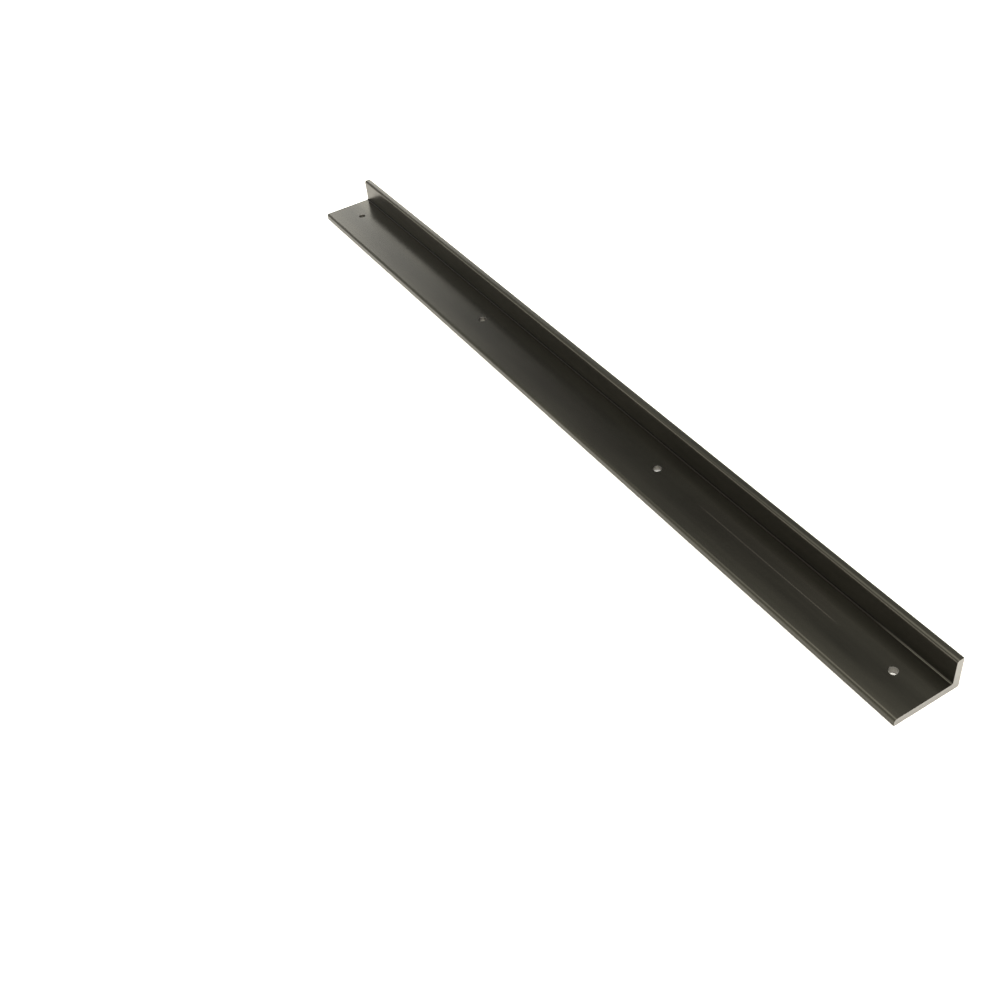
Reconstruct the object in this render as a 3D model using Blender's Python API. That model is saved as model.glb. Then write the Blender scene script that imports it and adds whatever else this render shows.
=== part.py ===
"""Door sweep: an L-shaped extruded carrier, screwed to the face of a door, whose short flange goes under the
door and holds a hollow rubber bulb that closes the gap to the floor.

The part lies on the outside of its wide flange. +X runs along the length, +Y from the free edge of the wide
flange to the seal, and +Z up. The origin is at the middle of the footprint, on the underside. Metres.
"""

import math

import bmesh
import bpy
from mathutils import Matrix, Vector

# Carrier
LENGTH = 0.762
FACE_FLANGE_WIDTH = 0.0508
UNDER_FLANGE_HEIGHT = 0.0254
METAL_THICKNESS = 0.0055
ROOT_RADIUS = 0.0012
TOE_RADIUS = 0.002
OUTER_EDGE_RADIUS = 0.0005

# Screw holes, a row along the middle of the wide flange
SCREW_HOLE_DIAMETER = 0.006
HOLE_END_MARGIN = 0.027
HOLE_MIDDLE_PITCH = 0.246

# Seal and its bond
SEAL_WIDTH = 0.010
SEAL_PROJECTION = 0.006
SEAL_WALL = 0.0015
SEAL_END_SETBACK = 0.005
TAPE_EDGE_MARGIN = 0.001
TAPE_THICKNESS = 0.0008
FACE_GAP = 0.0003

# How finely round shapes are drawn, and how solids are cut and closed
ARC_STEPS = 8
BULB_STEPS = 24
HOLE_SIDES = 48
SMOOTH_BELOW = math.radians(30)
CUTTER_OVERRUN = 0.002
WELD_DISTANCE = 0.000001

# Places that follow from the sizes above
SEAL_LENGTH = LENGTH - 2 * SEAL_END_SETBACK
SEAL_STACK = FACE_GAP + TAPE_THICKNESS + FACE_GAP + SEAL_PROJECTION
FRONT_Y = -(FACE_FLANGE_WIDTH + SEAL_STACK) / 2
HEEL_Y = FRONT_Y + FACE_FLANGE_WIDTH
HOLE_ROW_Y = FRONT_Y + FACE_FLANGE_WIDTH / 2
SEAL_HEIGHT_ON_FLANGE = UNDER_FLANGE_HEIGHT / 2
TAPE_Y = HEEL_Y + FACE_GAP + TAPE_THICKNESS / 2
SEAL_BASE_Y = HEEL_Y + FACE_GAP + TAPE_THICKNESS + FACE_GAP
HOLES_X = (
    -LENGTH / 2 + HOLE_END_MARGIN,
    -HOLE_MIDDLE_PITCH / 2,
    HOLE_MIDDLE_PITCH / 2,
    LENGTH / 2 - HOLE_END_MARGIN,
)

# Turns a section drawn in a curve's own X and Y into one across the part, and its extrusion along the length.
ALONG_LENGTH = (math.pi / 2, 0.0, math.pi / 2)


def clear_scene():
    for obj in list(bpy.data.objects):
        bpy.data.objects.remove(obj, do_unlink=True)


def new_collection(name):
    collection = bpy.data.collections.new(name)
    bpy.context.scene.collection.children.link(collection)
    return collection


def new_material(name, colour, roughness, metallic):
    material = bpy.data.materials.new(name)
    material.use_nodes = True
    shader = material.node_tree.nodes["Principled BSDF"]
    shader.inputs["Base Color"].default_value = (*colour, 1.0)
    shader.inputs["Roughness"].default_value = roughness
    shader.inputs["Metallic"].default_value = metallic
    return material


def rounded_corner(before, corner, after, radius):
    """The points of an arc that rounds one corner of an outline, from before's side of it to after's side."""
    towards_before = (before - corner).normalized()
    towards_after = (after - corner).normalized()
    half_angle = towards_before.angle(towards_after) / 2
    centre = corner + (towards_before + towards_after).normalized() * (radius / math.sin(half_angle))
    reach = radius / math.tan(half_angle)
    start = corner + towards_before * reach - centre
    end = corner + towards_after * reach - centre
    sweep = math.pi - 2 * half_angle
    points = []
    for step in range(ARC_STEPS + 1):
        share = step / ARC_STEPS
        first = math.sin((1 - share) * sweep) / math.sin(sweep)
        second = math.sin(share * sweep) / math.sin(sweep)
        points.append(centre + start * first + end * second)
    return points


def rounded_outline(corners):
    """A closed outline through corners, each given as (across, up, radius)."""
    places = [Vector((across, up)) for across, up, _ in corners]
    outline = []
    for index, (_, _, radius) in enumerate(corners):
        before = places[index - 1]
        after = places[(index + 1) % len(places)]
        outline += rounded_corner(before, places[index], after, radius)
    return outline


def bulb_outline(half_width, base, top):
    """Half an ellipse, closed by a flat base. It starts at the height base and reaches the height top."""
    arch = []
    for step in range(BULB_STEPS + 1):
        angle = math.pi * step / BULB_STEPS
        arch.append(Vector((base + (top - base) * math.sin(angle), half_width * math.cos(angle))))
    return arch


def extruded_section(name, outlines, length, location, collection):
    """A flat curve of one or more closed outlines, the later ones being holes, extruded along the part."""
    curve = bpy.data.curves.new(name, "CURVE")
    curve.dimensions = "2D"
    curve.fill_mode = "BOTH"
    curve.extrude = length / 2
    for outline in outlines:
        spline = curve.splines.new("POLY")
        spline.points.add(len(outline) - 1)
        for point, place in zip(spline.points, outline):
            point.co = (place.x, place.y, 0.0, 1.0)
        spline.use_cyclic_u = True
    section = bpy.data.objects.new(name, curve)
    section.location = location
    section.rotation_euler = ALONG_LENGTH
    collection.objects.link(section)
    return section


def curve_to_mesh(curve_object, collection):
    """A mesh object in the curve's place, with the curve's loose caps welded to its sides."""
    bpy.context.view_layer.update()
    evaluated = curve_object.evaluated_get(bpy.context.evaluated_depsgraph_get())
    mesh = bpy.data.meshes.new_from_object(evaluated)
    name = curve_object.name
    place = curve_object.matrix_world.copy()
    bpy.data.objects.remove(curve_object, do_unlink=True)
    welded = bmesh.new()
    welded.from_mesh(mesh)
    bmesh.ops.remove_doubles(welded, verts=welded.verts, dist=WELD_DISTANCE)
    bmesh.ops.recalc_face_normals(welded, faces=welded.faces)
    welded.to_mesh(mesh)
    welded.free()
    solid = bpy.data.objects.new(name, mesh)
    solid.matrix_world = place
    collection.objects.link(solid)
    return solid


def shade_round_faces(solid):
    solid.data.shade_smooth()
    solid.data.set_sharp_from_angle(angle=SMOOTH_BELOW)


def make_hole_cutters(collection):
    """One upright cylinder for each screw hole, longer than the flange is thick."""
    for number, x in enumerate(HOLES_X, start=1):
        mesh = bpy.data.meshes.new(f"screw_hole_{number}")
        shape = bmesh.new()
        bmesh.ops.create_cone(
            shape,
            cap_ends=True,
            segments=HOLE_SIDES,
            radius1=SCREW_HOLE_DIAMETER / 2,
            radius2=SCREW_HOLE_DIAMETER / 2,
            depth=METAL_THICKNESS + 2 * CUTTER_OVERRUN,
        )
        shape.to_mesh(mesh)
        shape.free()
        cutter = bpy.data.objects.new(mesh.name, mesh)
        cutter.location = (x, HOLE_ROW_Y, METAL_THICKNESS / 2)
        cutter.hide_render = True
        cutter.display_type = "WIRE"
        collection.objects.link(cutter)


def make_carrier_angle(parts, cutters, material):
    """The metal extrusion, with near-sharp outer edges, a small root fillet and rounded toes, and its holes."""
    inner_face = FACE_FLANGE_WIDTH - METAL_THICKNESS
    corners = (
        (0.0, 0.0, OUTER_EDGE_RADIUS),
        (FACE_FLANGE_WIDTH, 0.0, OUTER_EDGE_RADIUS),
        (FACE_FLANGE_WIDTH, UNDER_FLANGE_HEIGHT, OUTER_EDGE_RADIUS),
        (inner_face, UNDER_FLANGE_HEIGHT, TOE_RADIUS),
        (inner_face, METAL_THICKNESS, ROOT_RADIUS),
        (0.0, METAL_THICKNESS, TOE_RADIUS),
    )
    section = extruded_section(
        "carrier_angle", [rounded_outline(corners)], LENGTH, (0.0, FRONT_Y, 0.0), parts
    )
    carrier = curve_to_mesh(section, parts)
    carrier.data.materials.append(material)
    shade_round_faces(carrier)
    make_hole_cutters(cutters)
    drilled = carrier.modifiers.new("screw_holes", "BOOLEAN")
    drilled.operation = "DIFFERENCE"
    drilled.solver = "EXACT"
    drilled.operand_type = "COLLECTION"
    drilled.collection = cutters
    return carrier


def make_bond_tape(parts, material):
    """A flat tape, a little narrower than the base of the seal, between the seal and the short flange."""
    mesh = bpy.data.meshes.new("bond_tape")
    shape = bmesh.new()
    size = (SEAL_LENGTH, TAPE_THICKNESS, SEAL_WIDTH - 2 * TAPE_EDGE_MARGIN)
    bmesh.ops.create_cube(shape, size=1.0, matrix=Matrix.Diagonal((*size, 1.0)))
    shape.to_mesh(mesh)
    shape.free()
    tape = bpy.data.objects.new("bond_tape", mesh)
    tape.location = (0.0, TAPE_Y, SEAL_HEIGHT_ON_FLANGE)
    tape.data.materials.append(material)
    parts.objects.link(tape)
    return tape


def make_seal_strip(parts, material):
    """A hollow D-shaped bulb, open at both ends, with its flat base towards the short flange."""
    outside = bulb_outline(SEAL_WIDTH / 2, 0.0, SEAL_PROJECTION)
    bore = bulb_outline(SEAL_WIDTH / 2 - SEAL_WALL, SEAL_WALL, SEAL_PROJECTION - SEAL_WALL)
    seal = extruded_section(
        "seal_strip",
        [outside, bore],
        SEAL_LENGTH,
        (0.0, SEAL_BASE_Y, SEAL_HEIGHT_ON_FLANGE),
        parts,
    )
    seal.data.materials.append(material)
    return seal


def main():
    clear_scene()
    parts = new_collection("door_sweep")
    cutters = new_collection("door_sweep_cutters")
    anodised = new_material("dark_bronze_anodised_aluminium", (0.028, 0.023, 0.018), 0.35, 0.9)
    foam_tape = new_material("grey_acrylic_foam_tape", (0.12, 0.12, 0.125), 0.8, 0.0)
    rubber = new_material("black_epdm_rubber", (0.012, 0.012, 0.013), 0.6, 0.0)
    pieces = (
        make_carrier_angle(parts, cutters, anodised),
        make_bond_tape(parts, foam_tape),
        make_seal_strip(parts, rubber),
    )
    sweep = bpy.data.objects.new("door_sweep", None)
    parts.objects.link(sweep)
    for piece in pieces:
        piece.parent = sweep


main()
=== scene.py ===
# %% [markdown]
# # A door sweep in dark bronze
# A door sweep closes the gap under a door. This one is an L-shaped aluminium extrusion that is screwed to
# the face of the door, with a hollow rubber bulb bonded under it. The solids that come from CAD have the
# right size and place, but plain faceted surfaces. This lesson models each of the three pieces again at the
# same place, with the small shapes that catch the light, and then gives each one its real finish.

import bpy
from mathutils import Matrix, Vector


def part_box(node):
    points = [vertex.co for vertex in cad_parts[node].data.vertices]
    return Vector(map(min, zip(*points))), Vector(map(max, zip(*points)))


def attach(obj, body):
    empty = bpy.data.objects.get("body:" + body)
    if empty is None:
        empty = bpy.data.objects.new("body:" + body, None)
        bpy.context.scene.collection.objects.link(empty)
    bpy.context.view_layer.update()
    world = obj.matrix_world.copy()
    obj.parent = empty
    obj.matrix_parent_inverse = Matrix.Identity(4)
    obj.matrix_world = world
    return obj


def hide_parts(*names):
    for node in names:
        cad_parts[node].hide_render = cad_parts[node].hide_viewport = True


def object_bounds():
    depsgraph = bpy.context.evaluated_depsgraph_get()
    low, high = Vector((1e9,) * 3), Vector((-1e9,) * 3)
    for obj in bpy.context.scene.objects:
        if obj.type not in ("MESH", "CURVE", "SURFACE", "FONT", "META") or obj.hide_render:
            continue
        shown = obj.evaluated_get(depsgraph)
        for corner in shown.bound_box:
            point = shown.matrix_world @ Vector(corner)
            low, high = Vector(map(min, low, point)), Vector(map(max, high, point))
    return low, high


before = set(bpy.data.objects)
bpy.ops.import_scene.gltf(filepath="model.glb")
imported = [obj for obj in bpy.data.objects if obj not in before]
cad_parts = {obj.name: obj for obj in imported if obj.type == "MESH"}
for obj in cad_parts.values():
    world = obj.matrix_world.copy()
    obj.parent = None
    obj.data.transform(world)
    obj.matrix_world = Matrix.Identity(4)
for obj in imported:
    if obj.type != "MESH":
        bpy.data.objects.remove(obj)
cad_low, cad_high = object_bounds()
print("CAD nodes:", sorted(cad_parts))
print("CAD box in mm:", [round(1000 * side, 1) for side in cad_high - cad_low])

# %% [markdown]
# ## Working in millimetres
# Blender counts in metres and a door sweep is drawn in millimetres. One constant keeps every size readable.
# The outer faces' places are read from the CAD boxes, and the metal's thickness and the radii are given as
# numbers.

# %% Sizes and places
import math

import bpy
from mathutils import Matrix, Vector

MM = 0.001

carrier_low, carrier_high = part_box("carrier_angle")
tape_low, tape_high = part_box("bond_tape")
seal_low, seal_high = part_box("seal_strip")

METAL_THICKNESS = 5.5 * MM
ROOT_RADIUS = 1.2 * MM
TOE_RADIUS = 2.0 * MM
OUTER_EDGE_RADIUS = 0.5 * MM

FRONT_Y = carrier_low.y
HEEL_Y = carrier_high.y
INNER_Y = HEEL_Y - METAL_THICKNESS
TOP_Z = carrier_high.z
HALF_LENGTH = carrier_high.x
print("length in mm:", round(2 * HALF_LENGTH / MM, 1))
print("short flange's inner face at y in mm:", round(INNER_Y / MM, 1))

# %% [markdown]
# ## Selecting by place
# Modelling by hand is mostly this: select something, then run an operator on it. In a script the mouse is
# replaced by a test on the corner points of each face or edge. The helper below leaves the piece in edit
# mode with exactly those faces or edges selected. Everything else is deselected first, because an operator
# acts on all that is selected.

# %% Helpers for edit mode
TOLERANCE = 0.01 * MM


def start_piece(name):
    """Names the primitive that was just added, and moves its place and size into its mesh."""
    piece = bpy.context.active_object
    piece.name = name
    piece.data.name = name
    bpy.ops.object.transform_apply(location=True, rotation=True, scale=True)
    return piece


def edit_only(piece):
    """Makes piece the only selected object, in object mode."""
    if bpy.context.object and bpy.context.object.mode == "EDIT":
        bpy.ops.object.mode_set(mode="OBJECT")
    bpy.ops.object.select_all(action="DESELECT")
    piece.select_set(True)
    bpy.context.view_layer.objects.active = piece


def select_by_place(piece, kind, test):
    """Enters edit mode with only those faces or edges selected whose points all pass the test."""
    edit_only(piece)
    bpy.ops.object.mode_set(mode="EDIT")
    bpy.ops.mesh.select_mode(type=kind)
    bpy.ops.mesh.select_all(action="DESELECT")
    bpy.ops.object.mode_set(mode="OBJECT")
    mesh = piece.data
    parts = mesh.polygons if kind == "FACE" else mesh.edges
    found = 0
    for part in parts:
        part.select = all(test(mesh.vertices[index].co) for index in part.vertices)
        found += part.select
    bpy.ops.object.mode_set(mode="EDIT")
    return found


def near(value, target):
    return abs(value - target) < TOLERANCE


# %% [markdown]
# ## The carrier: from a slab to an L
# The real carrier is an aluminium extrusion: one section along its whole length. A slab the size of the
# wide flange is the start. It could be drawn as a curve and extruded, but here it is made the way one would
# by hand: bisect marks where the short flange stands, and the strip behind that mark is extruded upwards.

# %% The L section
FLAT_WITHIN = math.radians(1)

bpy.ops.object.select_all(action="DESELECT")
bpy.ops.mesh.primitive_cube_add(
    size=1.0,
    location=(0.0, (FRONT_Y + HEEL_Y) / 2, METAL_THICKNESS / 2),
    scale=(2 * HALF_LENGTH, HEEL_Y - FRONT_Y, METAL_THICKNESS),
)
carrier = start_piece("carrier_extrusion")

bpy.ops.object.mode_set(mode="EDIT")
bpy.ops.mesh.select_all(action="SELECT")
bpy.ops.mesh.bisect(plane_co=(0.0, INNER_Y, 0.0), plane_no=(0.0, 1.0, 0.0))
select_by_place(carrier, "FACE", lambda p: near(p.z, METAL_THICKNESS) and p.y > INNER_Y - TOLERANCE)
bpy.ops.mesh.extrude_region_move(TRANSFORM_OT_translate={"value": (0.0, 0.0, TOP_Z - METAL_THICKNESS)})
bpy.ops.mesh.select_all(action="SELECT")
bpy.ops.mesh.dissolve_limited(angle_limit=FLAT_WITHIN)
bpy.ops.object.mode_set(mode="OBJECT")
print("the L has", len(carrier.data.polygons), "faces")

# %% [markdown]
# ## The carrier: fillets and edges
# No edge of an extrusion is perfectly sharp, because metal doesn't flow round a sharp corner in the die.
# The root has a small fillet, the two toes are well rounded and the outer edges are just broken. Bevel
# makes all of them. Each radius is a run of its own, and the edges are found by where they lie in the
# section.

# %% Round the edges that run along the length
SECTION_EDGES = (
    # name, y, z, radius, steps across it
    ("root fillet", INNER_Y, METAL_THICKNESS, ROOT_RADIUS, 8),
    ("toe of the wide flange", FRONT_Y, METAL_THICKNESS, TOE_RADIUS, 10),
    ("toe of the short flange", INNER_Y, TOP_Z, TOE_RADIUS, 10),
    ("front edge", FRONT_Y, 0.0, OUTER_EDGE_RADIUS, 5),
    ("heel", HEEL_Y, 0.0, OUTER_EDGE_RADIUS, 5),
    ("back edge", HEEL_Y, TOP_Z, OUTER_EDGE_RADIUS, 5),
)
for label, y, z, radius, steps in SECTION_EDGES:
    count = select_by_place(carrier, "EDGE", lambda p: near(p.y, y) and near(p.z, z))
    bpy.ops.mesh.bevel(offset=radius, segments=steps, affect="EDGES")
    print(label, "edges:", count, "radius in mm:", round(radius / MM, 2))

# %% Break the sawn edges
SAWN_BREAK = 0.15 * MM
SAWN_BREAK_STEPS = 2
for end_x in (-HALF_LENGTH, HALF_LENGTH):
    count = select_by_place(carrier, "EDGE", lambda p: near(p.x, end_x))
    bpy.ops.mesh.bevel(offset=SAWN_BREAK, segments=SAWN_BREAK_STEPS, affect="EDGES")
    print("edges of this end:", count)
bpy.ops.object.mode_set(mode="OBJECT")
print("faces now:", len(carrier.data.polygons))

# %% [markdown]
# ## The carrier: screw holes
# Four holes take wood screws. A drill leaves a straight wall, and deburring leaves a narrow cone at each
# mouth. The cutter has that whole shape: a cylinder as thick as the straight wall, whose two ends are
# extruded outwards with a little growth. Cutting with it makes wall and cones in one go. It is modelled
# once, and each hole gets a copy with its own mesh. One of the four was opened much wider from below, as
# with a larger drill, and another by a touch.

# %% Model the drill
HOLE_RADIUS = 3.0 * MM
HOLE_SIDES = 96
DEBURR = 0.15 * MM
CUTTER_OVERRUN = 1.0 * MM
HOLE_ROW_Y = (FRONT_Y + HEEL_Y) / 2
OUTER_HOLE_X = HALF_LENGTH - 27.0 * MM
INNER_HOLE_X = 123.0 * MM

bpy.ops.object.select_all(action="DESELECT")
bpy.ops.mesh.primitive_cylinder_add(
    vertices=HOLE_SIDES,
    radius=HOLE_RADIUS,
    depth=METAL_THICKNESS - 2 * DEBURR,
    location=(0.0, HOLE_ROW_Y, METAL_THICKNESS / 2),
)
drill = start_piece("drill")
mouth_growth = (HOLE_RADIUS + DEBURR) / HOLE_RADIUS
for wall_end, way in ((METAL_THICKNESS - DEBURR, 1.0), (DEBURR, -1.0)):
    select_by_place(drill, "FACE", lambda p: near(p.z, wall_end))
    bpy.ops.mesh.extrude_region_move(TRANSFORM_OT_translate={"value": (0.0, 0.0, way * DEBURR)})
    bpy.ops.transform.resize(
        value=(mouth_growth, mouth_growth, 1.0), center_override=(0.0, HOLE_ROW_Y, wall_end)
    )
    bpy.ops.mesh.extrude_region_move(TRANSFORM_OT_translate={"value": (0.0, 0.0, way * CUTTER_OVERRUN)})
bpy.ops.object.mode_set(mode="OBJECT")
print("the drill has", len(drill.data.polygons), "faces")

# %% Drill the holes
HOLES = (
    # place along the length, how far the lower mouth is opened further
    (-OUTER_HOLE_X, 0.0),
    (-INNER_HOLE_X, 0.1 * MM),
    (INNER_HOLE_X, 2.2 * MM),
    (OUTER_HOLE_X, 0.0),
)
HOLES_X = [x for x, _ in HOLES]
for x, lower_mouth in HOLES:
    cutter = drill.copy()
    cutter.data = drill.data.copy()
    bpy.context.scene.collection.objects.link(cutter)
    for point in cutter.data.vertices:
        if near(point.co.z, DEBURR):
            point.co.z += lower_mouth
        elif point.co.z < DEBURR:
            share = 1 + lower_mouth / (HOLE_RADIUS + DEBURR)
            point.co.x *= share
            point.co.y = HOLE_ROW_Y + (point.co.y - HOLE_ROW_Y) * share
        point.co.x += x
    edit_only(carrier)
    cut = carrier.modifiers.new("screw_hole", "BOOLEAN")
    cut.operation = "DIFFERENCE"
    cut.solver = "EXACT"
    cut.object = cutter
    bpy.ops.object.modifier_apply(modifier=cut.name)
    bpy.data.objects.remove(cutter, do_unlink=True)
bpy.data.objects.remove(drill, do_unlink=True)
print("drilled", len(HOLES), "holes, faces now:", len(carrier.data.polygons))

# %% [markdown]
# ## The carrier: smooth shading
# Smooth shading makes the fillets read as round, but it also bends the light on the flats next to them. The
# Weighted Normal modifier lets the large flats decide, so they stay flat right up to where a fillet starts.

# %% Shade the carrier
SMOOTH_BELOW = math.radians(40)


def shade_round(piece):
    """Smooth shading with flat flats, kept in the mesh."""
    edit_only(piece)
    bpy.ops.object.shade_smooth_by_angle(angle=SMOOTH_BELOW)
    weighted = piece.modifiers.new("flat_flats", "WEIGHTED_NORMAL")
    weighted.keep_sharp = True
    bpy.ops.object.modifier_apply(modifier=weighted.name)


shade_round(carrier)
print("carrier shaded, with", len(carrier.data.vertices), "points")

# %% [markdown]
# ## The bulb seal: half a cylinder, hollowed
# The seal is black EPDM rubber, extruded as a hollow D. A cylinder along the length is squashed to the
# bulb's ellipse and bisected along its axis, which leaves the D. Its edges at the base are rounded a
# little, because rubber has no sharp edges. A smaller D, longer than the seal, is then cut out of it and
# makes the bore. An inset of both ends would do as well, if the base's rounding weren't smaller than the
# wall.

# %% Model the seal
SEAL_WALL = 1.5 * MM
SEAL_EDGE_RADIUS = 0.35 * MM
SEAL_EDGE_STEPS = 4
BULB_SIDES = 64
BORE_OVERRUN = 2.0 * MM
seal_width = seal_high.z - seal_low.z
seal_projection = seal_high.y - seal_low.y
seal_length = seal_high.x - seal_low.x
seal_z = (seal_high.z + seal_low.z) / 2


def half_bulb(name, half_width, base_y, projection, length):
    """A solid D along the length, with its flat base at base_y."""
    bpy.ops.object.select_all(action="DESELECT")
    bpy.ops.mesh.primitive_cylinder_add(
        vertices=BULB_SIDES,
        radius=1.0,
        depth=1.0,
        location=(0.0, base_y, seal_z),
        rotation=(0.0, math.pi / 2, 0.0),
        scale=(half_width, projection, length),
    )
    piece = start_piece(name)
    bpy.ops.object.mode_set(mode="EDIT")
    bpy.ops.mesh.select_all(action="SELECT")
    bpy.ops.mesh.bisect(
        plane_co=(0.0, base_y, seal_z), plane_no=(0.0, 1.0, 0.0), use_fill=True, clear_inner=True
    )
    bpy.ops.object.mode_set(mode="OBJECT")
    return piece


seal = half_bulb("bulb_seal", seal_width / 2, seal_low.y, seal_projection, seal_length)
for z in (seal_low.z, seal_high.z):
    count = select_by_place(seal, "EDGE", lambda p: near(p.y, seal_low.y) and near(p.z, z))
    bpy.ops.mesh.bevel(offset=SEAL_EDGE_RADIUS, segments=SEAL_EDGE_STEPS, affect="EDGES")
    print("base edges rounded:", count)
bpy.ops.object.mode_set(mode="OBJECT")

# %% Hollow the seal
bore = half_bulb(
    "bore",
    seal_width / 2 - SEAL_WALL,
    seal_low.y + SEAL_WALL,
    seal_projection - 2 * SEAL_WALL,
    seal_length + 2 * BORE_OVERRUN,
)
edit_only(seal)
cut = seal.modifiers.new("bore", "BOOLEAN")
cut.operation = "DIFFERENCE"
cut.solver = "EXACT"
cut.object = bore
bpy.ops.object.modifier_apply(modifier=cut.name)
bpy.data.objects.remove(bore, do_unlink=True)
shade_round(seal)
seal_reach = max(point.co.y for point in seal.data.vertices)
print("hollow seal faces:", len(seal.data.polygons), "reaching y in mm:", round(seal_reach / MM, 2))

# %% [markdown]
# ## The bond tape
# Between seal and flange lies a double-sided acrylic foam tape. Slit foam has soft edges that wander
# slightly, so a block's long edges are rounded, it is cut into short lengths, and each station is narrowed
# by up to 0.12 mm on either side. A sum of two sines gives that wander, the same at every run.

# %% Model the tape
TAPE_STATION = 8.0 * MM
TAPE_EDGE_RADIUS = 0.12 * MM
TAPE_EDGE_STEPS = 3
TAPE_WANDER = 0.12 * MM
WANDER_WAVES = (37.0 * MM, 13.0 * MM)
tape_size = tape_high - tape_low
tape_centre = (tape_high + tape_low) / 2

bpy.ops.object.select_all(action="DESELECT")
bpy.ops.mesh.primitive_cube_add(size=1.0, location=tape_centre, scale=tape_size)
tape = start_piece("foam_tape")
select_by_place(tape, "EDGE", lambda p: False)  # passes nothing, so it only clears the selection
bpy.ops.object.mode_set(mode="OBJECT")
for edge in tape.data.edges:
    start, end = (tape.data.vertices[index].co for index in edge.vertices)
    edge.select = abs(start.x - end.x) > TOLERANCE
bpy.ops.object.mode_set(mode="EDIT")
bpy.ops.mesh.bevel(offset=TAPE_EDGE_RADIUS, segments=TAPE_EDGE_STEPS, affect="EDGES")
stations = int(tape_size.x / TAPE_STATION)
for station in range(1, stations):
    bpy.ops.mesh.select_all(action="SELECT")
    bpy.ops.mesh.bisect(
        plane_co=(tape_low.x + tape_size.x * station / stations, 0.0, 0.0), plane_no=(1.0, 0.0, 0.0)
    )
bpy.ops.object.mode_set(mode="OBJECT")
for point in tape.data.vertices:
    wander = sum(math.sin(2 * math.pi * point.co.x / wave) for wave in WANDER_WAVES) / len(WANDER_WAVES)
    from_middle = (point.co.z - tape_centre.z) / (tape_size.z / 2)
    point.co.z -= from_middle * TAPE_WANDER * (1 + wander) / 2
shade_round(tape)
print("tape faces:", len(tape.data.polygons))

# %% [markdown]
# ## Colours and nodes
# A listed colour is an sRGB value, and Blender's shaders want linear light. One function converts. A second
# one adds a node with its settings and its inputs, so that each material below reads as a short list.

# %% Helpers for materials
# Sockets of a Mix node that share their names with others, so they are picked by number.
MIX_FACTOR = 0
MIX_A = 6
MIX_B = 7
MIX_RESULT = 2


def linear(hex_colour):
    """An sRGB hex colour as linear red, green, blue and alpha."""
    channels = [int(hex_colour[start:start + 2], 16) / 255 for start in (1, 3, 5)]
    return (*(c / 12.92 if c <= 0.04045 else ((c + 0.055) / 1.055) ** 2.4 for c in channels), 1.0)


def per_metre(*sizes_mm):
    """The scale that makes a texture's features these many millimetres long along X, Y and Z."""
    return tuple(1000.0 / size for size in sizes_mm)


def add_node(tree, kind, settings=None, inputs=None):
    """Adds a node. An input that is a socket is linked, and any other is set as a value."""
    node = tree.nodes.new(kind)
    for name, value in (settings or {}).items():
        setattr(node, name, value)
    for name, value in (inputs or {}).items():
        if isinstance(value, bpy.types.NodeSocket):
            tree.links.new(value, node.inputs[name])
        else:
            node.inputs[name].default_value = value
    return node


def new_material(name):
    """An empty material with a Principled shader on its output, and the piece's own coordinates."""
    material = bpy.data.materials.new(name)
    material.use_nodes = True
    tree = material.node_tree
    tree.nodes.clear()
    shader = add_node(tree, "ShaderNodeBsdfPrincipled")
    add_node(tree, "ShaderNodeOutputMaterial", inputs={"Surface": shader.outputs["BSDF"]})
    place = add_node(tree, "ShaderNodeTexCoord").outputs["Object"]
    return material, tree, shader, place


print("linear mid grey:", [round(c, 3) for c in linear("#808080")])

# %% [markdown]
# ## Dark bronze anodised aluminium
# The carrier is anodised and dyed a dark bronze after it is cut and drilled. The dyed film hides the silver
# of the metal: seen from above it is nearly black, and only at a flat angle does it turn into a mirror. A
# mostly metallic shader with a very dark colour behaves just so, and the rest that isn't metallic gives the
# dye's own brown. Pushing metal through a die leaves bands of slightly different tone along the length,
# always at the same place across the section, and the finest die lines.

# %% Film: bands across the section
DARK_FILM = "#272621"
LIGHT_FILM = "#55534A"
FILM_BANDS = (
    # distance from the free edge in mm, how light the film is there, from 0 to 1
    (0.0, 0.36),
    (7.0, 0.20),
    (15.0, 0.06),
    (21.0, 0.06),
    (30.0, 0.18),
    (36.0, 0.42),
    (41.0, 0.48),
    (45.0, 0.34),
)
anodised, tree, shader, place = new_material("dark_bronze_anodised_aluminium")
across = add_node(tree, "ShaderNodeSeparateXYZ", inputs={"Vector": place})
from_edge = add_node(
    tree, "ShaderNodeMapRange",
    inputs={"Value": across.outputs["Y"], "From Min": FRONT_Y, "From Max": INNER_Y},
)
bands = add_node(tree, "ShaderNodeValToRGB", inputs={"Fac": from_edge.outputs["Result"]})
bands.color_ramp.interpolation = "EASE"
stops = bands.color_ramp.elements
while len(stops) < len(FILM_BANDS):
    stops.new(0.5)
for stop, (distance_mm, lightness) in zip(stops, FILM_BANDS):
    stop.position = distance_mm * MM / (INNER_Y - FRONT_Y)
    stop.color = (lightness, lightness, lightness, 1.0)
print("film bands:", len(FILM_BANDS))

# %% [markdown]
# The bands alone would look painted on. Cloudy patches, stretched along the length, let them come and go,
# and the die lines are a much finer pattern of the same kind.

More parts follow.
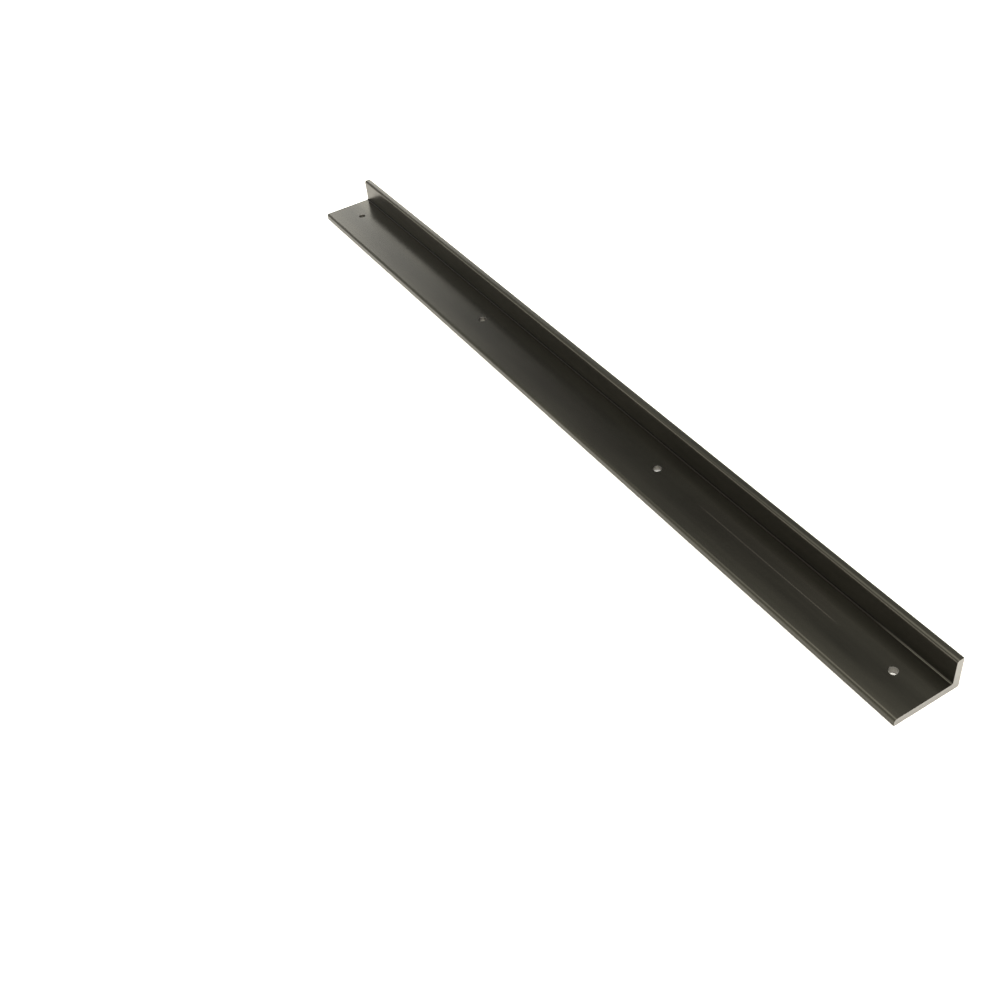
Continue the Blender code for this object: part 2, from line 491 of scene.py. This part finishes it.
# %% Film: clouds and die lines
CLOUD_SHARE = 0.36
CLOUD_MM = (90.0, 14.0, 14.0)
cloud_scale = add_node(
    tree, "ShaderNodeMapping", inputs={"Vector": place, "Scale": per_metre(*CLOUD_MM)}
)
clouds = add_node(
    tree, "ShaderNodeTexNoise",
    inputs={"Vector": cloud_scale.outputs["Vector"], "Scale": 1.0, "Detail": 4.0, "Roughness": 0.55},
)
centred = add_node(tree, "ShaderNodeMath", {"operation": "SUBTRACT"}, {0: clouds.outputs["Fac"], 1: 0.5})
lighter = add_node(
    tree, "ShaderNodeMath", {"operation": "MULTIPLY_ADD", "use_clamp": True},
    {0: centred.outputs["Value"], 1: CLOUD_SHARE, 2: bands.outputs["Color"]},
)
film = add_node(
    tree, "ShaderNodeMix", {"data_type": "RGBA"},
    {MIX_FACTOR: lighter.outputs["Value"], MIX_A: linear(DARK_FILM), MIX_B: linear(LIGHT_FILM)},
)
DIE_LINE_MM = 1.3  # real die lines are about 0.2 mm apart, drawn coarser so that they show
DIE_LINE_LENGTH_MM = 420.0
line_scale = add_node(
    tree, "ShaderNodeMapping",
    inputs={"Vector": place, "Scale": per_metre(DIE_LINE_LENGTH_MM, DIE_LINE_MM, DIE_LINE_MM)},
)
die_lines = add_node(
    tree, "ShaderNodeTexNoise",
    inputs={"Vector": line_scale.outputs["Vector"], "Scale": 1.0, "Detail": 3.0, "Roughness": 0.6},
)
print("die lines every", DIE_LINE_MM, "mm")

# %% [markdown]
# ## Small damage
# A marking-out line was scribed along part of the middle before drilling, and one small nick shows on the
# short flange. Each is a mask made from coordinates: how far a point is from the line, and how far along
# it.

# %% Scribed line and nick
SCRIBE_Y = -4.2 * MM
SCRIBE_FROM = 168.0 * MM
SCRIBE_TO = 309.0 * MM
SCRIBE_HALF_WIDTH = 0.18 * MM
SCRIBE_FADE = 12.0 * MM
NICK = (-64.0 * MM, INNER_Y, METAL_THICKNESS + 5.0 * MM)
NICK_SIZE = 0.9 * MM
NICK_SOFTNESS = 0.4
DAMAGE_COLOUR = "#8E897F"
DAMAGE_SHARE = 0.38

to_line = add_node(
    tree, "ShaderNodeMath", {"operation": "COMPARE"},
    {0: across.outputs["Y"], 1: SCRIBE_Y, 2: SCRIBE_HALF_WIDTH},
)
begins = add_node(
    tree, "ShaderNodeMapRange",
    inputs={"Value": across.outputs["X"], "From Min": SCRIBE_FROM, "From Max": SCRIBE_FROM + SCRIBE_FADE},
)
ends = add_node(
    tree, "ShaderNodeMapRange",
    inputs={"Value": across.outputs["X"], "From Min": SCRIBE_TO, "From Max": SCRIBE_TO - SCRIBE_FADE},
)
upper_side = add_node(
    tree, "ShaderNodeMath", {"operation": "GREATER_THAN"}, {0: across.outputs["Z"], 1: METAL_THICKNESS / 2}
)
scribe = to_line
for limit in (begins, ends, upper_side):
    scribe = add_node(
        tree, "ShaderNodeMath", {"operation": "MULTIPLY"}, {0: scribe.outputs[0], 1: limit.outputs[0]}
    )
to_nick = add_node(tree, "ShaderNodeVectorMath", {"operation": "DISTANCE"}, {0: place, 1: NICK})
nick = add_node(
    tree, "ShaderNodeMapRange",
    inputs={
        "Value": to_nick.outputs["Value"],
        "From Min": (1 + NICK_SOFTNESS) * NICK_SIZE, "From Max": (1 - NICK_SOFTNESS) * NICK_SIZE,
    },
)
damage = add_node(
    tree, "ShaderNodeMath", {"operation": "MAXIMUM"}, {0: scribe.outputs[0], 1: nick.outputs[0]}
)
damage_share = add_node(
    tree, "ShaderNodeMath", {"operation": "MULTIPLY"}, {0: damage.outputs[0], 1: DAMAGE_SHARE}
)
colour = add_node(
    tree, "ShaderNodeMix", {"data_type": "RGBA"},
    {MIX_FACTOR: damage_share.outputs[0], MIX_A: film.outputs[MIX_RESULT], MIX_B: linear(DAMAGE_COLOUR)},
)
print("scribed line in mm:", round((SCRIBE_TO - SCRIBE_FROM) / MM))

# %% [markdown]
# ## The short flange's inner face
# The polishing belt can't reach well into the corner, so the inner face of the short flange stays rougher.
# Its paler colour is painted light, which lightens that face in cloudy patches. A mask picks that face by
# its place, and mixes in the painted light.

# %% Painted light on the inner face
# Painted light: a paler colour for the short flange's inner face.
INNER_FACE_PAINTED_LIGHT = "#5B5851"
FACE_REACH = 0.3 * MM
on_face = add_node(
    tree, "ShaderNodeMath", {"operation": "COMPARE"}, {0: across.outputs["Y"], 1: INNER_Y, 2: FACE_REACH}
)
inner_face = add_node(
    tree, "ShaderNodeMath", {"operation": "MULTIPLY"}, {0: on_face.outputs[0], 1: upper_side.outputs[0]}
)
painted_light_share = add_node(
    tree, "ShaderNodeMath", {"operation": "MULTIPLY"}, {0: inner_face.outputs[0], 1: clouds.outputs["Fac"]}
)
# The painted light is mixed into the film colour here, in cloudy patches.
colour = add_node(
    tree, "ShaderNodeMix", {"data_type": "RGBA"},
    {MIX_FACTOR: painted_light_share.outputs[0], MIX_A: colour.outputs[MIX_RESULT], MIX_B: linear(INNER_FACE_PAINTED_LIGHT)},
)
print("inner face at y in mm:", round(INNER_Y / MM, 1))

# %% [markdown]
# ## Painted shade in the root
# The root is given a dark colour, which is painted shade: it keeps the root fillet from drawing a bright
# highlight line. The root is also made rougher. Only the last few centimetres at the near end are left
# without the painted shade.

# %% Painted shade in the root
# Painted shade: a dark colour laid in the root fillet, which fades out towards the near end.
ROOT_SHADE_COLOUR = "#1F1D19"
ROOT_SHADE_REACH = ROOT_RADIUS + 0.1 * MM
SHADE_FADES_FROM = 318.0 * MM
SHADE_GONE_AT = 350.0 * MM
beside_root = add_node(
    tree, "ShaderNodeMath", {"operation": "COMPARE"}, {0: across.outputs["Y"], 1: INNER_Y, 2: ROOT_SHADE_REACH}
)
over_root = add_node(
    tree, "ShaderNodeMath", {"operation": "COMPARE"},
    {0: across.outputs["Z"], 1: METAL_THICKNESS, 2: ROOT_SHADE_REACH},
)
shade_along = add_node(
    tree, "ShaderNodeMapRange",
    inputs={"Value": across.outputs["X"], "From Min": SHADE_GONE_AT, "From Max": SHADE_FADES_FROM},
)
in_root = add_node(
    tree, "ShaderNodeMath", {"operation": "MULTIPLY"}, {0: beside_root.outputs[0], 1: over_root.outputs[0]}
)
root_shade = add_node(
    tree, "ShaderNodeMath", {"operation": "MULTIPLY"},
    {0: in_root.outputs[0], 1: shade_along.outputs["Result"]},
)
# The painted shade is mixed into the film colour here.
colour = add_node(
    tree, "ShaderNodeMix", {"data_type": "RGBA"},
    {MIX_FACTOR: root_shade.outputs[0], MIX_A: colour.outputs[MIX_RESULT], MIX_B: linear(ROOT_SHADE_COLOUR)},
)
print("dirt reaches to x in mm:", round(SHADE_GONE_AT / MM))

# %% [markdown]
# ## Gloss and relief of the film
# The film is satin. Its roughness changes a little with the die lines, and is higher on the inner face and
# in the root under the painted shade. Two bumps give the relief: broad shallow waves from the stretcher
# that straightens the extrusion, and the die lines.

# %% Gloss and relief
NOISE_SPREAD = (0.3, 0.7)  # most of a noise pattern lies between these
FILM_ROUGHNESS = (0.21, 0.25)
FILM_METALLIC = 0.93
DULLNESS = 0.08
ROOT_ROUGHNESS = 0.3
WAVE_MM = (500.0, 12.0, 12.0)
WAVE_DEPTH = 0.02 * MM
DIE_LINE_DEPTH = 0.0015 * MM
polish = add_node(
    tree, "ShaderNodeMapRange",
    inputs={
        "Value": die_lines.outputs["Fac"], "From Min": NOISE_SPREAD[0], "From Max": NOISE_SPREAD[1],
        "To Min": FILM_ROUGHNESS[0], "To Max": FILM_ROUGHNESS[1],
    },
)
face_gloss = add_node(
    tree, "ShaderNodeMath", {"operation": "MULTIPLY_ADD"},
    {0: inner_face.outputs[0], 1: DULLNESS, 2: polish.outputs["Result"]},
)
gloss = add_node(
    tree, "ShaderNodeMath", {"operation": "MULTIPLY_ADD"},
    {0: root_shade.outputs[0], 1: ROOT_ROUGHNESS, 2: face_gloss.outputs[0]},
)
wave_scale = add_node(
    tree, "ShaderNodeMapping", inputs={"Vector": place, "Scale": per_metre(*WAVE_MM)}
)
waves = add_node(
    tree, "ShaderNodeTexNoise", inputs={"Vector": wave_scale.outputs["Vector"], "Scale": 1.0, "Detail": 1.0}
)
wave_bump = add_node(
    tree, "ShaderNodeBump", inputs={"Height": waves.outputs["Fac"], "Strength": 1.0, "Distance": WAVE_DEPTH}
)
line_bump = add_node(
    tree, "ShaderNodeBump",
    inputs={
        "Height": die_lines.outputs["Fac"], "Strength": 1.0, "Distance": DIE_LINE_DEPTH,
        "Normal": wave_bump.outputs["Normal"],
    },
)
shader.inputs["Metallic"].default_value = FILM_METALLIC
tree.links.new(colour.outputs[MIX_RESULT], shader.inputs["Base Color"])
tree.links.new(gloss.outputs[0], shader.inputs["Roughness"])
tree.links.new(line_bump.outputs["Normal"], shader.inputs["Normal"])
print("anodised finish has", len(tree.nodes), "nodes")

# %% [markdown]
# ## The same film on sawn and drilled metal
# The ends and the hole walls went into the same dye, but a film on rough metal is thin, so the grey of the
# aluminium shows through and they are greyer and duller. A circular saw leaves shallow arcs around the
# blade's axle, which a ring pattern with a far centre draws. A drill leaves rings around the hole, spaced
# by its feed for each turn.

# %% Sawn ends and drilled walls
SAW_MARK_MM = 0.9  # teeth leave marks about 0.3 mm apart, drawn coarser so that they show
SAW_MARK_DEPTH = 0.03 * MM
BLADE_AXLE = (0.0, -90.0 * MM, 140.0 * MM)
SAWN_GREYS = ("#777572", "#8B8986")
SAWN_ROUGHNESS = 0.4
DRILL_FEED_MM = 0.35
DRILL_PATCH_MM = 30.0
DRILL_RING_DEPTH = 0.01 * MM
DRILLED_GREYS = ("#6A6864", "#817F7A")
DRILLED_ROUGHNESS = 0.3

sawn, tree, shader, place = new_material("sawn_then_anodised_aluminium")
from_axle = add_node(
    tree, "ShaderNodeMapping", inputs={"Vector": place, "Location": [-c for c in BLADE_AXLE]}
)
flat_distance = add_node(
    tree, "ShaderNodeVectorMath", {"operation": "MULTIPLY"},
    {0: from_axle.outputs["Vector"], 1: (0.0, 1.0, 1.0)},
)
blade_distance = add_node(
    tree, "ShaderNodeVectorMath", {"operation": "LENGTH"}, {0: flat_distance.outputs["Vector"]}
)
turns = add_node(
    tree, "ShaderNodeMath", {"operation": "MULTIPLY"},
    {0: blade_distance.outputs["Value"], 1: 1000.0 / SAW_MARK_MM},
)
saw_marks = add_node(
    tree, "ShaderNodeTexNoise", {"noise_dimensions": "1D"},
    {"W": turns.outputs[0], "Scale": 1.0, "Detail": 2.0},
)
saw_colour = add_node(
    tree, "ShaderNodeMix", {"data_type": "RGBA"},
    {MIX_FACTOR: saw_marks.outputs["Fac"], MIX_A: linear(SAWN_GREYS[0]), MIX_B: linear(SAWN_GREYS[1])},
)
saw_bump = add_node(
    tree, "ShaderNodeBump",
    inputs={"Height": saw_marks.outputs["Fac"], "Strength": 1.0, "Distance": SAW_MARK_DEPTH},
)
shader.inputs["Metallic"].default_value = 1.0
shader.inputs["Roughness"].default_value = SAWN_ROUGHNESS
tree.links.new(saw_colour.outputs[MIX_RESULT], shader.inputs["Base Color"])
tree.links.new(saw_bump.outputs["Normal"], shader.inputs["Normal"])

drilled, tree, shader, place = new_material("drilled_then_anodised_aluminium")
feed_scale = add_node(
    tree, "ShaderNodeMapping",
    inputs={"Vector": place, "Scale": per_metre(DRILL_PATCH_MM, DRILL_PATCH_MM, DRILL_FEED_MM)},
)
feed_rings = add_node(
    tree, "ShaderNodeTexNoise", inputs={"Vector": feed_scale.outputs["Vector"], "Scale": 1.0, "Detail": 2.0}
)
drill_colour = add_node(
    tree, "ShaderNodeMix", {"data_type": "RGBA"},
    {
        MIX_FACTOR: feed_rings.outputs["Fac"],
        MIX_A: linear(DRILLED_GREYS[0]), MIX_B: linear(DRILLED_GREYS[1]),
    },
)
drill_bump = add_node(
    tree, "ShaderNodeBump",
    inputs={"Height": feed_rings.outputs["Fac"], "Strength": 1.0, "Distance": DRILL_RING_DEPTH},
)
shader.inputs["Metallic"].default_value = 1.0
shader.inputs["Roughness"].default_value = DRILLED_ROUGHNESS
tree.links.new(drill_colour.outputs[MIX_RESULT], shader.inputs["Base Color"])
tree.links.new(drill_bump.outputs["Normal"], shader.inputs["Normal"])
print("made", sawn.name, "and", drilled.name)

# %% Put the three metal finishes on their faces
SAWN, DRILLED = 1, 2  # their numbers among the carrier's materials, where 0 is the anodised film
FACES_AN_END = 0.5  # least share of a normal that points along the strip, on a sawn end
FACES_UP_OR_DOWN = 0.9  # least share of a normal that points up or down, on a flat

for material in (anodised, sawn, drilled):
    carrier.data.materials.append(material)
counts = [0] * len(carrier.data.materials)
for face in carrier.data.polygons:
    from_hole = min(math.hypot(face.center.x - x, face.center.y - HOLE_ROW_Y) for x in HOLES_X)
    if abs(face.center.x) > HALF_LENGTH - SAWN_BREAK and abs(face.normal.x) > FACES_AN_END:
        face.material_index = SAWN
    elif (
        from_hole < 2 * HOLE_RADIUS
        and 0.0 < face.center.z < METAL_THICKNESS
        and abs(face.normal.z) < FACES_UP_OR_DOWN
    ):
        face.material_index = DRILLED
    counts[face.material_index] += 1
print("anodised, sawn and drilled faces:", counts)

# %% [markdown]
# ## Rubber and foam
# EPDM rubber is matt black, with faint lines along the length from its own die and a thin grey bloom that
# gathers in patches and takes some of its shine. The foam tape is mid grey and open-pored where it was
# slit, so its roughness is high and a cell pattern gives the pores.

# %% Rubber and foam finishes
RUBBER_BLACKS = ("#0E0E0E", "#1C1C1D")
RUBBER_ROUGHNESS = (0.6, 0.8)
RUBBER_SHINE = 0.3  # the usual value is 0.5, and the bloom lowers it
RUBBER_LINE_MM = (160.0, 0.8, 0.8)
RUBBER_LINE_DEPTH = 0.03 * MM
BLOOM_MM = (35.0, 6.0, 6.0)
FOAM_GREYS = ("#4C4D4F", "#6A6B6E")
FOAM_ROUGHNESS = 0.9
PORE_MM = (0.3, 0.3, 0.3)
PORE_DEPTH = 0.05 * MM

rubber, tree, shader, place = new_material("black_epdm_rubber")
rubber_lines = add_node(
    tree, "ShaderNodeMapping", inputs={"Vector": place, "Scale": per_metre(*RUBBER_LINE_MM)}
)
rubber_noise = add_node(
    tree, "ShaderNodeTexNoise",
    inputs={"Vector": rubber_lines.outputs["Vector"], "Scale": 1.0, "Detail": 2.0},
)
bloom_scale = add_node(tree, "ShaderNodeMapping", inputs={"Vector": place, "Scale": per_metre(*BLOOM_MM)})
bloom = add_node(
    tree, "ShaderNodeTexNoise",
    inputs={"Vector": bloom_scale.outputs["Vector"], "Scale": 1.0, "Detail": 5.0},
)
rubber_colour = add_node(
    tree, "ShaderNodeMix", {"data_type": "RGBA"},
    {MIX_FACTOR: bloom.outputs["Fac"], MIX_A: linear(RUBBER_BLACKS[0]), MIX_B: linear(RUBBER_BLACKS[1])},
)
rubber_gloss = add_node(
    tree, "ShaderNodeMapRange",
    inputs={
        "Value": bloom.outputs["Fac"], "From Min": NOISE_SPREAD[0], "From Max": NOISE_SPREAD[1],
        "To Min": RUBBER_ROUGHNESS[0], "To Max": RUBBER_ROUGHNESS[1],
    },
)
rubber_bump = add_node(
    tree, "ShaderNodeBump",
    inputs={"Height": rubber_noise.outputs["Fac"], "Strength": 1.0, "Distance": RUBBER_LINE_DEPTH},
)
shader.inputs["Specular IOR Level"].default_value = RUBBER_SHINE
tree.links.new(rubber_colour.outputs[MIX_RESULT], shader.inputs["Base Color"])
tree.links.new(rubber_gloss.outputs["Result"], shader.inputs["Roughness"])
tree.links.new(rubber_bump.outputs["Normal"], shader.inputs["Normal"])
seal.data.materials.append(rubber)

foam, tree, shader, place = new_material("grey_acrylic_foam")
pore_scale = add_node(tree, "ShaderNodeMapping", inputs={"Vector": place, "Scale": per_metre(*PORE_MM)})
pores = add_node(
    tree, "ShaderNodeTexVoronoi", inputs={"Vector": pore_scale.outputs["Vector"], "Scale": 1.0}
)
foam_colour = add_node(
    tree, "ShaderNodeMix", {"data_type": "RGBA"},
    {MIX_FACTOR: pores.outputs["Distance"], MIX_A: linear(FOAM_GREYS[0]), MIX_B: linear(FOAM_GREYS[1])},
)
foam_bump = add_node(
    tree, "ShaderNodeBump",
    inputs={"Height": pores.outputs["Distance"], "Strength": 1.0, "Distance": PORE_DEPTH},
)
shader.inputs["Roughness"].default_value = FOAM_ROUGHNESS
tree.links.new(foam_colour.outputs[MIX_RESULT], shader.inputs["Base Color"])
tree.links.new(foam_bump.outputs["Normal"], shader.inputs["Normal"])
tape.data.materials.append(foam)
print("made", rubber.name, "and", foam.name)

# %% [markdown]
# ## Onto the frame
# Each piece rides on the one body of this object and stands for its CAD node, which is hidden.

# %% Ride and replace
for piece, node, slot in (
    (carrier, "carrier_angle", "dark_bronze_anodised"),
    (tape, "bond_tape", "grey_foam_tape"),
    (seal, "seal_strip", "black_epdm"),
):
    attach(piece, "root")
    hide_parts(node)
    print(piece.name, "stands for", node)

# %% [markdown]
# ## A bright table and a soft room
# The sweep lies on a pale table that glows a little from below, in so much light that the table turns pure
# white and the shadow is lost. The glow is what shows through the screw holes. A dark mirror shows only
# what is around it, so the room is drawn with care. Behind the sweep stands a bright wall, up to 26.5
# degrees above the horizon, with a dark stretch above it. The camera's side of the room is even and dimmer,
# and a large soft light hangs over both. The room is two colour ramps on the height of each direction, one
# for either side.

# %% Table and room
GLOW_COLOUR = "#FFFDF7"
TABLE_COLOUR = "#F1EFEA"
TABLE_ROUGHNESS = 0.8
TABLE_GLOW = 0.3
TABLE_SIZE = 12.0
TABLE_GAP = 0.05 * MM
BEHIND, IN_FRONT = 1, 2  # columns of the room's table
ROOM = (
    # elevation in degrees, brightness behind the sweep, brightness in front of it
    (0.0, 5.0, 1.4),
    (26.5, 5.0, 1.4),
    (31.0, 0.35, 1.0),
    (44.0, 0.35, 1.0),
    (54.0, 1.6, 1.8),
    (64.0, 4.0, 4.0),
    (90.0, 4.0, 4.0),
)
SIDES_MEET_WITHIN = 0.2
bpy.ops.object.select_all(action="DESELECT")
bpy.ops.mesh.primitive_plane_add(size=TABLE_SIZE, location=(0.0, 0.0, cad_low.z - TABLE_GAP))
table = start_piece("light_table")
opal, tree, shader, place = new_material("opal_light_table")
shader.inputs["Base Color"].default_value = linear(TABLE_COLOUR)
shader.inputs["Roughness"].default_value = TABLE_ROUGHNESS
shader.inputs["Emission Color"].default_value = linear(GLOW_COLOUR)
shader.inputs["Emission Strength"].default_value = TABLE_GLOW
table.data.materials.append(opal)

world = bpy.data.worlds.new("studio_room")
bpy.context.scene.world = world
world.use_nodes = True
tree = world.node_tree
tree.nodes.clear()
direction = add_node(tree, "ShaderNodeTexCoord").outputs["Generated"]
towards = add_node(tree, "ShaderNodeSeparateXYZ", inputs={"Vector": direction})
brightest = max(max(behind, front) for _, behind, front in ROOM)
warm = linear(GLOW_COLOUR)
side_ramps = []
for side in (BEHIND, IN_FRONT):
    ramp = add_node(tree, "ShaderNodeValToRGB", inputs={"Fac": towards.outputs["Z"]})
    steps = ramp.color_ramp.elements
    while len(steps) < len(ROOM):
        steps.new(0.5)
    for step, row in zip(steps, ROOM):
        step.position = math.sin(math.radians(row[0]))
        share = row[side] / brightest
        step.color = (warm[0] * share, warm[1] * share, warm[2] * share, 1.0)
    side_ramps.append(ramp.outputs["Color"])
in_front = add_node(
    tree, "ShaderNodeMapRange",
    inputs={"Value": towards.outputs["Y"], "From Min": SIDES_MEET_WITHIN, "From Max": -SIDES_MEET_WITHIN},
)
room = add_node(
    tree, "ShaderNodeMix", {"data_type": "RGBA"},
    {MIX_FACTOR: in_front.outputs["Result"], MIX_A: side_ramps[0], MIX_B: side_ramps[1]},
)
glow = add_node(
    tree, "ShaderNodeBackground", inputs={"Color": room.outputs[MIX_RESULT], "Strength": brightest}
)
add_node(tree, "ShaderNodeOutputWorld", inputs={"Surface": glow.outputs["Background"]})
print("room brightness up to", brightest)

# %% [markdown]
# ## The camera
# The camera stands at the near end, on the side of the free edge, and looks down along the strip. Its place
# is given in millimetres from the middle of the underside. Heading turns it about the upright, tilt raises
# it from looking straight down, and roll turns it about its own lens.

# %% Camera and view
CAMERA_PLACE = Vector((670.5, -403.4, 584.9)) * MM
HEADING = math.radians(63.57)
TILT = math.radians(48.55)
ROLL = math.radians(-7.24)
LENS_MM = 44.6
SENSOR_MM = 36.0

lens = bpy.data.cameras.new("camera")
lens.lens = LENS_MM
lens.sensor_width = SENSOR_MM
lens.clip_start = 0.01
lens.clip_end = 100.0
camera = bpy.data.objects.new("camera", lens)
camera.matrix_world = (
    Matrix.Translation(CAMERA_PLACE)
    @ Matrix.Rotation(HEADING, 4, "Z")
    @ Matrix.Rotation(TILT, 4, "X")
    @ Matrix.Rotation(ROLL, 4, "Z")
)
bpy.context.scene.collection.objects.link(camera)
bpy.context.scene.camera = camera
bpy.context.scene.view_settings.view_transform = "Standard"
print("camera height in mm:", round(camera.location.z / MM, 1))
